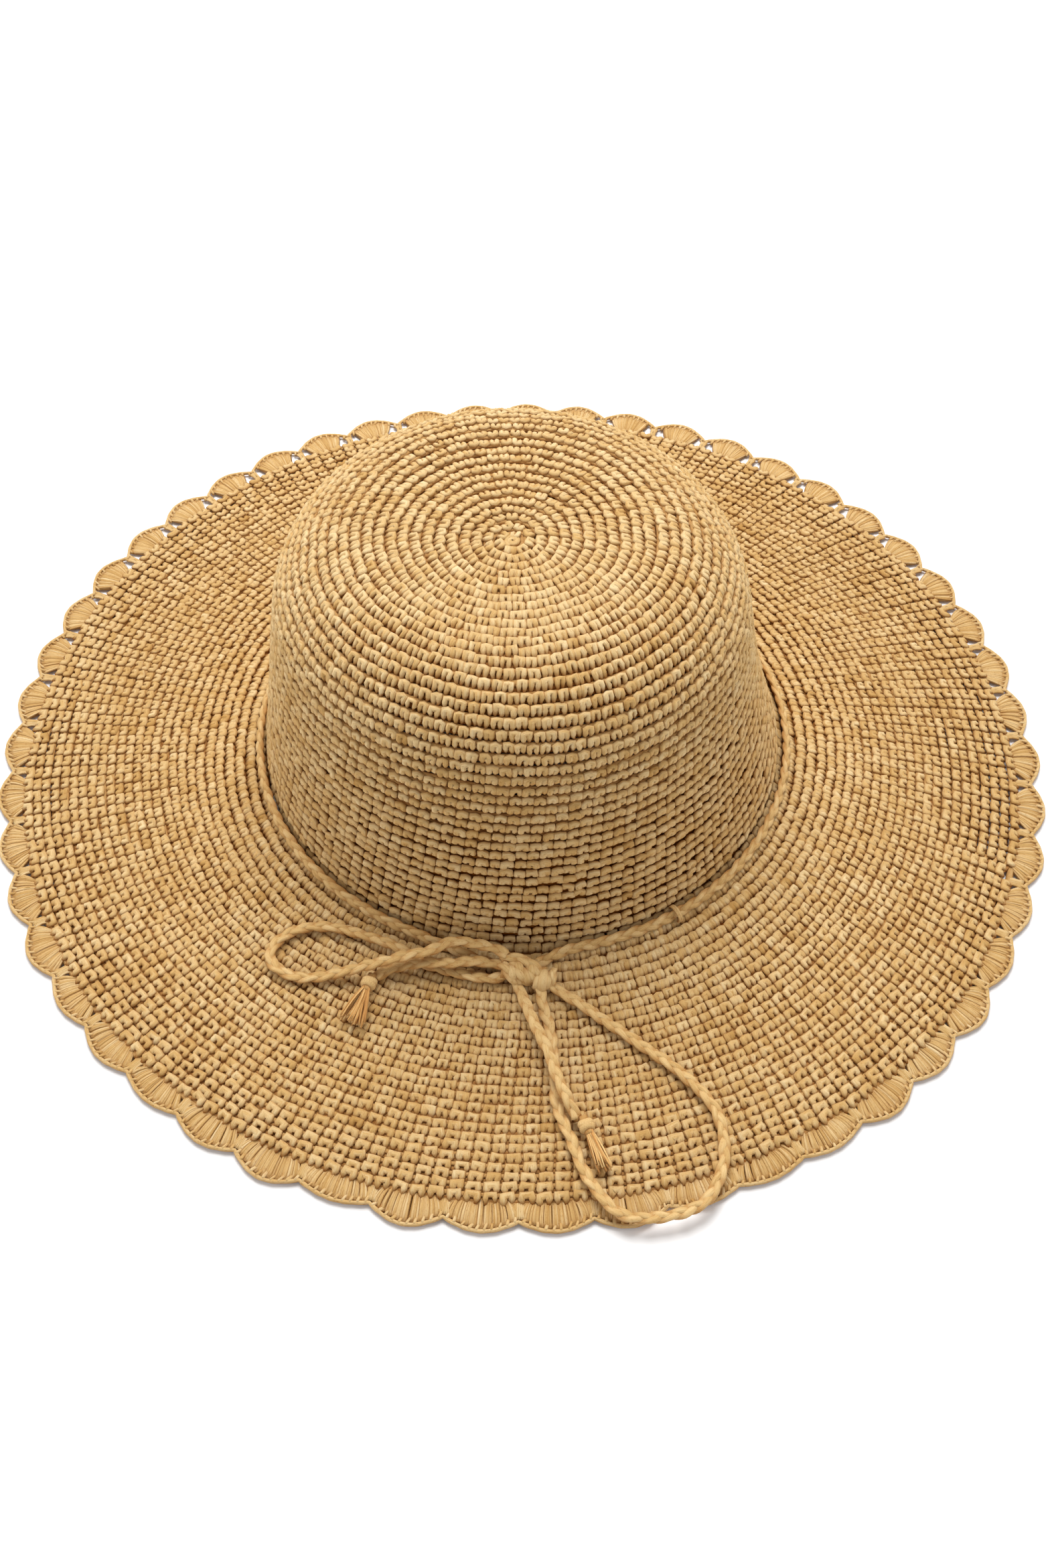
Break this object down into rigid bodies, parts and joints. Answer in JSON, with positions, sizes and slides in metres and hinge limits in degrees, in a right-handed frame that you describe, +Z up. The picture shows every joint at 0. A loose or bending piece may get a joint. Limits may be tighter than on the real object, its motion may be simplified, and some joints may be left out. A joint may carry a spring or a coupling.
{
  "type": "straw sun hat",
  "caption": "Crocheted straw sun hat with a domed crown, a wide scalloped brim and a plaited cord tied round the crown in a bow.",
  "frame": {"origin": "on the crown's axis, in the plane that the rim stands on", "axes": "+Z up through the crown's tip; the bow is on the -Y side; +X to the wearer's left when the bow faces forward"},
  "size_m": [0.383, 0.3829, 0.111],
  "materials": {
    "raffia_crochet": "matt crocheted raffia straw",
    "raffia_plait": "three-ply plaited raffia, slightly paler and glossier than the crochet",
    "frayed_raffia": "loose frayed raffia plies",
    "raffia_thread": "single raffia thread",
    "cotton_tape": "woven ribbed cotton tape",
    "sewing_thread": "fine sewing thread"
  },
  "bodies": {
    "hat": {"crown_tip": "raffia_crochet", "crown_side": "raffia_crochet", "brim": "raffia_crochet", "scallop_shells": "raffia_crochet", "edge_chain": "raffia_crochet", "sweatband": "cotton_tape", "sweatband_stitching": "sewing_thread", "front_keeper": "raffia_thread", "back_keeper": "raffia_thread"},
    "band": {"band_cord": "raffia_plait", "bow_knot": "raffia_plait"},
    "left_bow": {"left_loop": "raffia_plait", "left_tail": "raffia_plait", "left_end_knot": "raffia_plait", "left_tassel": "frayed_raffia"},
    "right_loop": {"right_loop": "raffia_plait"},
    "right_tail": {"right_tail": "raffia_plait", "right_end_knot": "raffia_plait", "right_tassel": "frayed_raffia"}
  },
  "joints": [
    {"name": "band_turn", "type": "hinge", "parent": "hat", "child": "band", "pos_m": [0, 0, 0.0105], "axis": [0, 0, 1], "range_deg": [-18, 18]},
    {"name": "left_bow_lift", "type": "hinge", "parent": "band", "child": "left_bow", "pos_m": [-0.004, -0.1045, 0.01205], "axis": [0, 1, 0], "range_deg": [0, 40]},
    {"name": "right_loop_lift", "type": "hinge", "parent": "band", "child": "right_loop", "pos_m": [0.004, -0.1045, 0.01205], "axis": [-1, 0, 0], "range_deg": [0, 45]},
    {"name": "right_tail_lift", "type": "hinge", "parent": "right_loop", "child": "right_tail", "pos_m": [0.004, -0.1045, 0.01205], "axis": [-1, 0, 0], "range_deg": [0, 30]}
  ]
}
